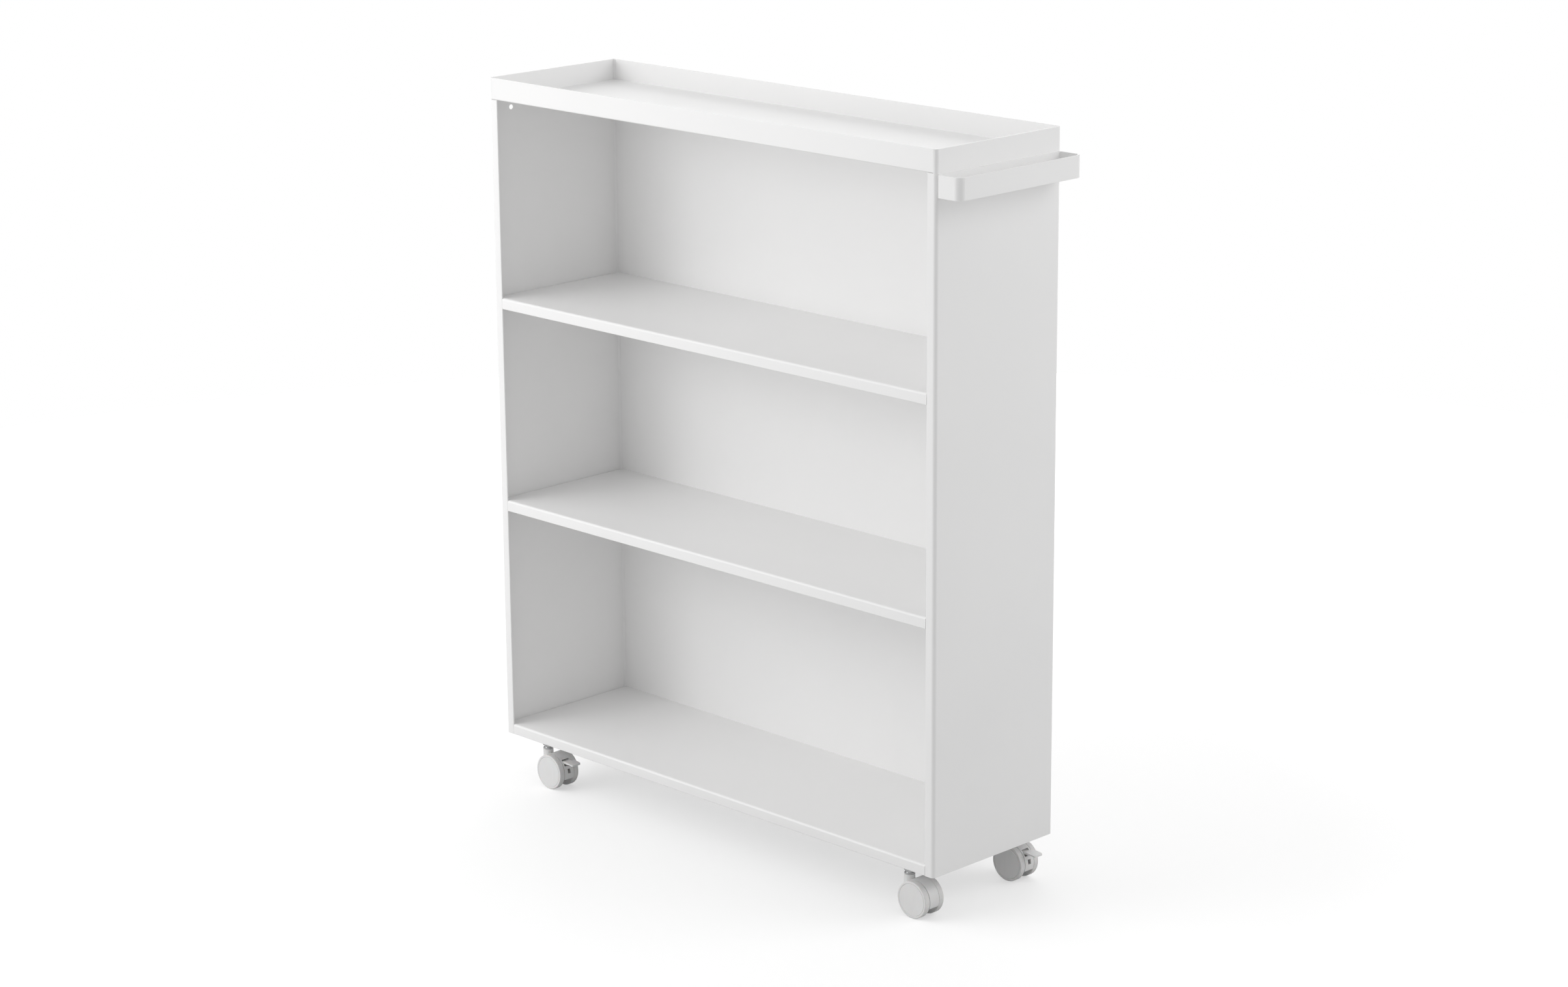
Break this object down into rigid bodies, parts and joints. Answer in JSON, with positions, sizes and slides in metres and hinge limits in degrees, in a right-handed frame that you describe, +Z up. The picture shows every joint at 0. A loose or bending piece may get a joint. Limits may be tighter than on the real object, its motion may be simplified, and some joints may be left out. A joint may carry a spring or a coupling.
{
  "type": "book trolley",
  "caption": "Slim white sheet-steel book trolley with open shelves, a tray on top, a strip handle on one side and twin-wheel swivel casters, some with brake pedals",
  "frame": {"origin": "on the floor, at the middle of the trolley's overall length (handle included) and depth", "axes": "+Z up, -Y is the open front, +X is the end with the handle"},
  "size_m": [0.695, 0.185, 0.809],
  "materials": {
    "white_powder_coat": "fine matte powder coat",
    "white_plastic": "moulded nylon, satin",
    "white_tread": "soft white polyurethane, matte",
    "plated_steel": "bright nickel or zinc plating"
  },
  "bodies": {
    "cabinet": {"side_panel_left": "white_powder_coat", "side_panel_right": "white_powder_coat", "back_panel": "white_powder_coat", "top_tray": "white_powder_coat", "upper_shelf": "white_powder_coat", "lower_shelf": "white_powder_coat", "bottom_shelf": "white_powder_coat", "handle": "white_powder_coat", "handle_nuts": "white_powder_coat", "handle_screws": "plated_steel", "caster_rail_left": "white_powder_coat", "caster_rail_right": "white_powder_coat", "caster_weld_nuts": "plated_steel", "caster_stem_fl": "plated_steel", "caster_stem_fr": "plated_steel", "caster_stem_rl": "plated_steel", "caster_stem_rr": "plated_steel", "retaining_ring_fl": "plated_steel", "retaining_ring_fr": "plated_steel", "retaining_ring_rl": "plated_steel", "retaining_ring_rr": "plated_steel"},
    "caster_fl": {"caster_hood_fl": "white_plastic", "wheel_axle_fl": "plated_steel", "brake_pin_fl": "plated_steel"},
    "wheel_fl_front": {"wheel_core_fl_front": "white_plastic", "wheel_tread_fl_front": "white_tread"},
    "wheel_fl_rear": {"wheel_core_fl_rear": "white_plastic", "wheel_tread_fl_rear": "white_tread"},
    "pedal_fl": {"brake_pedal_fl": "white_plastic"},
    "caster_fr": {"caster_hood_fr": "white_plastic", "wheel_axle_fr": "plated_steel"},
    "wheel_fr_front": {"wheel_core_fr_front": "white_plastic", "wheel_tread_fr_front": "white_tread"},
    "wheel_fr_rear": {"wheel_core_fr_rear": "white_plastic", "wheel_tread_fr_rear": "white_tread"},
    "caster_rl": {"caster_hood_rl": "white_plastic", "wheel_axle_rl": "plated_steel"},
    "wheel_rl_front": {"wheel_core_rl_front": "white_plastic", "wheel_tread_rl_front": "white_tread"},
    "wheel_rl_rear": {"wheel_core_rl_rear": "white_plastic", "wheel_tread_rl_rear": "white_tread"},
    "caster_rr": {"caster_hood_rr": "white_plastic", "wheel_axle_rr": "plated_steel", "brake_pin_rr": "plated_steel"},
    "wheel_rr_front": {"wheel_core_rr_front": "white_plastic", "wheel_tread_rr_front": "white_tread"},
    "wheel_rr_rear": {"wheel_core_rr_rear": "white_plastic", "wheel_tread_rr_rear": "white_tread"},
    "pedal_rr": {"brake_pedal_rr": "white_plastic"}
  },
  "joints": [
    {"name": "swivel_fl", "type": "hinge", "parent": "cabinet", "child": "caster_fl", "pos_m": [-0.2975, -0.074, 0.054], "axis": [0, 0, 1], "continuous": true},
    {"name": "wheel_spin_fl_front", "type": "hinge", "parent": "caster_fl", "child": "wheel_fl_front", "pos_m": [-0.282, -0.074, 0.02], "axis": [0, 1, 0], "continuous": true},
    {"name": "wheel_spin_fl_rear", "type": "hinge", "parent": "caster_fl", "child": "wheel_fl_rear", "pos_m": [-0.282, -0.074, 0.02], "axis": [0, 1, 0], "continuous": true},
    {"name": "brake_fl", "type": "hinge", "parent": "caster_fl", "child": "pedal_fl", "pos_m": [-0.27237, -0.074, 0.0307], "axis": [0, 1, 0], "range_deg": [0, 13]},
    {"name": "swivel_fr", "type": "hinge", "parent": "cabinet", "child": "caster_fr", "pos_m": [0.2675, -0.074, 0.054], "axis": [0, 0, 1], "continuous": true},
    {"name": "wheel_spin_fr_front", "type": "hinge", "parent": "caster_fr", "child": "wheel_fr_front", "pos_m": [0.283, -0.074, 0.02], "axis": [0, 1, 0], "continuous": true},
    {"name": "wheel_spin_fr_rear", "type": "hinge", "parent": "caster_fr", "child": "wheel_fr_rear", "pos_m": [0.283, -0.074, 0.02], "axis": [0, 1, 0], "continuous": true},
    {"name": "swivel_rl", "type": "hinge", "parent": "cabinet", "child": "caster_rl", "pos_m": [-0.2975, 0.074, 0.054], "axis": [0, 0, 1], "continuous": true},
    {"name": "wheel_spin_rl_front", "type": "hinge", "parent": "caster_rl", "child": "wheel_rl_front", "pos_m": [-0.282, 0.074, 0.02], "axis": [0, 1, 0], "continuous": true},
    {"name": "wheel_spin_rl_rear", "type": "hinge", "parent": "caster_rl", "child": "wheel_rl_rear", "pos_m": [-0.282, 0.074, 0.02], "axis": [0, 1, 0], "continuous": true},
    {"name": "swivel_rr", "type": "hinge", "parent": "cabinet", "child": "caster_rr", "pos_m": [0.2675, 0.074, 0.054], "axis": [0, 0, 1], "continuous": true},
    {"name": "wheel_spin_rr_front", "type": "hinge", "parent": "caster_rr", "child": "wheel_rr_front", "pos_m": [0.283, 0.074, 0.02], "axis": [0, 1, 0], "continuous": true},
    {"name": "wheel_spin_rr_rear", "type": "hinge", "parent": "caster_rr", "child": "wheel_rr_rear", "pos_m": [0.283, 0.074, 0.02], "axis": [0, 1, 0], "continuous": true},
    {"name": "brake_rr", "type": "hinge", "parent": "caster_rr", "child": "pedal_rr", "pos_m": [0.29263, 0.074, 0.0307], "axis": [0, 1, 0], "range_deg": [0, 13]}
  ]
}
